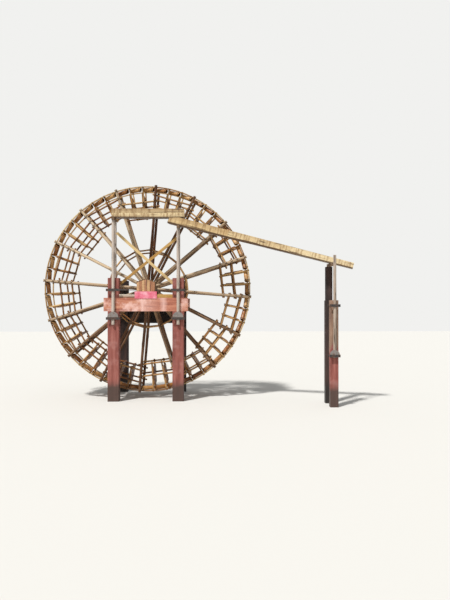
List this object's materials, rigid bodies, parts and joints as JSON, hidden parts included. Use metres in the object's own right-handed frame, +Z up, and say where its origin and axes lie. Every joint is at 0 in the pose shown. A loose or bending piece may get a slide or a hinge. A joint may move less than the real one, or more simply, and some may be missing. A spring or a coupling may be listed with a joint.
{
  "type": "water wheel",
  "caption": "Scoop-type river water wheel of poles and boards on a four-post frame, with a top trough and a long sloping flume carried by a two-post bent.",
  "frame": {"origin": "middle of the front left post's foot", "axes": "+X to the right along the front, towards the far end of the flume; +Y from the front to the back, along the axle; +Z up"},
  "size_m": [10.9815, 4.6352, 7.7924],
  "materials": {
    "painted_concrete": "red-brown paint on cast concrete, faded and stained",
    "beam_concrete": "streaked red-brown paint worn to pale patches",
    "rough_timber": "rough sawn timber, weathered",
    "dark_timber": "wet timber, nearly black with stain",
    "slat_timber": "sawn slats, bleached and stained",
    "sign_paint": "faded pink paint, bare",
    "grey_pole": "round poles, weathered grey",
    "dark_iron": "dark paint with rust",
    "pale_board": "sawn pale board",
    "trough_board": "sawn boards, straw coloured and wet inside",
    "hub_timber": "turned timber, dark",
    "spoke_pole": "peeled poles, sun bleached",
    "rail_pole": "peeled poles, golden brown",
    "hoop_strip": "split bamboo strip",
    "paddle_board": "wet sawn board, golden brown",
    "bamboo": "bamboo culm, dry and waxy"
  },
  "bodies": {
    "frame": {"front_left_pier": "painted_concrete", "front_right_pier": "painted_concrete", "rear_left_pier": "painted_concrete", "rear_right_pier": "painted_concrete", "front_beam": "beam_concrete", "rear_beam": "beam_concrete", "rear_low_beam": "dark_timber", "sleepers": "rough_timber", "front_bearing": "rough_timber", "rear_bearing": "rough_timber", "front_bearing_cover": "slat_timber", "rear_bearing_cover": "slat_timber", "sign_plate": "sign_paint", "left_poles": "grey_pole", "right_poles": "grey_pole", "pole_clamps": "dark_iron", "pole_shoes": "dark_iron", "tie_rod": "dark_iron", "cross_braces": "pale_board", "trough_floor": "trough_board", "trough_sides": "trough_board", "trough_end": "trough_board", "trough_bearer": "rough_timber", "flume_floor": "trough_board", "flume_sides": "trough_board", "flume_bearers": "rough_timber", "far_front_pier": "painted_concrete", "far_rear_pier": "painted_concrete", "far_pole": "grey_pole", "far_clamps": "dark_iron"},
    "wheel": {"axle": "hub_timber", "front_hub": "hub_timber", "rear_hub": "hub_timber", "front_spokes": "spoke_pole", "rear_spokes": "spoke_pole", "hub_rings": "rail_pole", "front_rails": "rail_pole", "rear_rails": "rail_pole", "front_sticks": "spoke_pole", "rear_sticks": "spoke_pole", "front_hoop": "hoop_strip", "rear_hoop": "hoop_strip", "paddles": "paddle_board", "scoops_a": "bamboo", "scoops_b": "bamboo", "scoops_c": "bamboo", "scoops_d": "bamboo"}
  },
  "joints": [
    {"name": "wheel_turn", "type": "hinge", "parent": "frame", "child": "wheel", "pos_m": [1.14, 1.3, 4], "axis": [0, 1, 0], "continuous": true}
  ]
}
